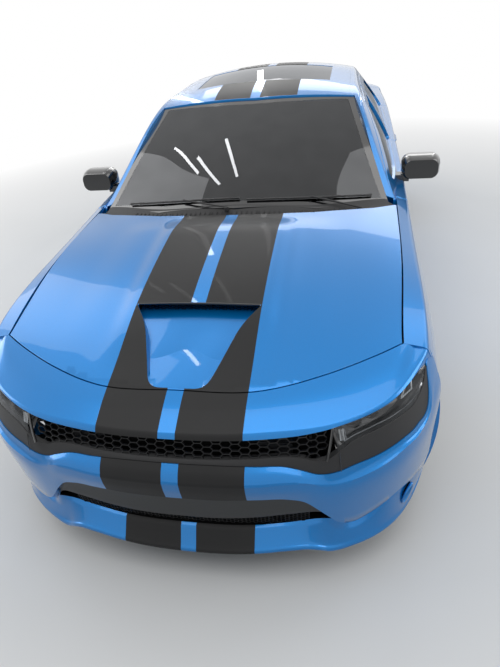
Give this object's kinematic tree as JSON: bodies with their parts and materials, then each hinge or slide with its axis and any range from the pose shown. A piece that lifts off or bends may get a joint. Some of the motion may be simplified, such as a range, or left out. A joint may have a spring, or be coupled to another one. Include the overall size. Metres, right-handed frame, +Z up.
{
  "type": "muscle car",
  "caption": "Four-door muscle car with a scooped bonnet, opening doors, bonnet and boot lid, steered front wheels and a hollow cabin.",
  "frame": {"origin": "on the floor under the middle of the car's box", "axes": "the nose points along -Y, +X is the car's left side, +Z is up"},
  "size_m": [2.1312, 5.0538, 1.4783],
  "materials": {
    "paint": "gloss",
    "trim": "matte",
    "gloss_black": "gloss",
    "glass": "gloss",
    "lens": "gloss",
    "red_lens": "gloss",
    "tyre": "matte",
    "rim": "satin",
    "iron": "matte",
    "steel": "satin",
    "body_steel": "satin",
    "seat": "satin",
    "dash": "matte"
  },
  "bodies": {
    "chassis": {"underbody": "body_steel", "side_frame_left": "paint", "side_frame_right": "paint", "roof_panel": "paint", "sunroof_glass": "glass", "windshield": "glass", "backlight": "glass", "fender_left": "paint", "fender_right": "paint", "front_fascia": "paint", "splitter": "paint", "grilles": "trim", "headlamps": "lens", "rear_fascia": "paint", "tail_lamps": "red_lens", "cowl": "trim", "engine": "iron", "front_suspension": "iron", "rear_suspension": "iron", "exhaust": "steel", "seat_bases": "trim", "front_seats": "seat", "rear_seat": "seat", "dashboard": "dash"},
    "bonnet": {"hood": "paint", "scoop_mesh": "trim"},
    "boot_lid": {"decklid": "paint", "deck_lamp": "red_lens"},
    "steering_wheel": {"steering_wheel": "dash"},
    "front_door_left": {"front_door_left": "paint", "front_door_glass_left": "glass", "mirror_left": "gloss_black"},
    "rear_door_left": {"rear_door_left": "paint", "rear_door_glass_left": "glass"},
    "knuckle_left": {"knuckle_left": "iron"},
    "wheel_front_left": {"tyre_front_left": "tyre", "rim_front_left": "rim"},
    "wheel_rear_left": {"tyre_rear_left": "tyre", "rim_rear_left": "rim"},
    "front_door_right": {"front_door_right": "paint", "front_door_glass_right": "glass", "mirror_right": "gloss_black"},
    "rear_door_right": {"rear_door_right": "paint", "rear_door_glass_right": "glass"},
    "knuckle_right": {"knuckle_right": "iron"},
    "wheel_front_right": {"tyre_front_right": "tyre", "rim_front_right": "rim"},
    "wheel_rear_right": {"tyre_rear_right": "tyre", "rim_rear_right": "rim"}
  },
  "joints": [
    {"name": "steer_left", "type": "hinge", "parent": "chassis", "child": "knuckle_left", "pos_m": [0.725, -1.575, 0.364], "axis": [0, 0, 1], "range_deg": [-34, 34]},
    {"name": "steer_right", "type": "hinge", "parent": "chassis", "child": "knuckle_right", "pos_m": [-0.725, -1.575, 0.364], "axis": [0, 0, 1], "range_deg": [-34, 34]},
    {"name": "steering_wheel_turn", "type": "hinge", "parent": "chassis", "child": "steering_wheel", "pos_m": [0.37, -0.61, 0.83], "axis": [0, 0.9136, 0.4067], "range_deg": [-476, 476]},
    {"name": "wheel_front_left_spin", "type": "hinge", "parent": "knuckle_left", "child": "wheel_front_left", "pos_m": [0.805, -1.575, 0.364], "axis": [1, 0, 0], "continuous": true},
    {"name": "wheel_rear_left_spin", "type": "hinge", "parent": "chassis", "child": "wheel_rear_left", "pos_m": [0.805, 1.477, 0.364], "axis": [1, 0, 0], "continuous": true},
    {"name": "front_door_left_hinge", "type": "hinge", "parent": "chassis", "child": "front_door_left", "pos_m": [0.8954, -1.024, 0.6], "axis": [0, 0, -1], "range_deg": [0, 65]},
    {"name": "rear_door_left_hinge", "type": "hinge", "parent": "chassis", "child": "rear_door_left", "pos_m": [0.888, 0.106, 0.6], "axis": [0, 0, -1], "range_deg": [0, 62]},
    {"name": "wheel_front_right_spin", "type": "hinge", "parent": "knuckle_right", "child": "wheel_front_right", "pos_m": [-0.805, -1.575, 0.364], "axis": [1, 0, 0], "continuous": true},
    {"name": "wheel_rear_right_spin", "type": "hinge", "parent": "chassis", "child": "wheel_rear_right", "pos_m": [-0.805, 1.477, 0.364], "axis": [1, 0, 0], "continuous": true},
    {"name": "front_door_right_hinge", "type": "hinge", "parent": "chassis", "child": "front_door_right", "pos_m": [-0.8954, -1.024, 0.6], "axis": [0, 0, 1], "range_deg": [0, 65]},
    {"name": "rear_door_right_hinge", "type": "hinge", "parent": "chassis", "child": "rear_door_right", "pos_m": [-0.888, 0.106, 0.6], "axis": [0, 0, 1], "range_deg": [0, 62]},
    {"name": "bonnet_hinge", "type": "hinge", "parent": "chassis", "child": "bonnet", "pos_m": [0, -0.978, 0.978], "axis": [-1, 0, 0], "range_deg": [0, 50]},
    {"name": "boot_lid_hinge", "type": "hinge", "parent": "chassis", "child": "boot_lid", "pos_m": [0, 1.722, 1.146], "axis": [1, 0, 0], "range_deg": [0, 75]}
  ],
  "couplings": [
    {"joint": "steer_right", "follows": "steer_left", "ratio": 1},
    {"joint": "steering_wheel_turn", "follows": "steer_left", "ratio": 14}
  ]
}
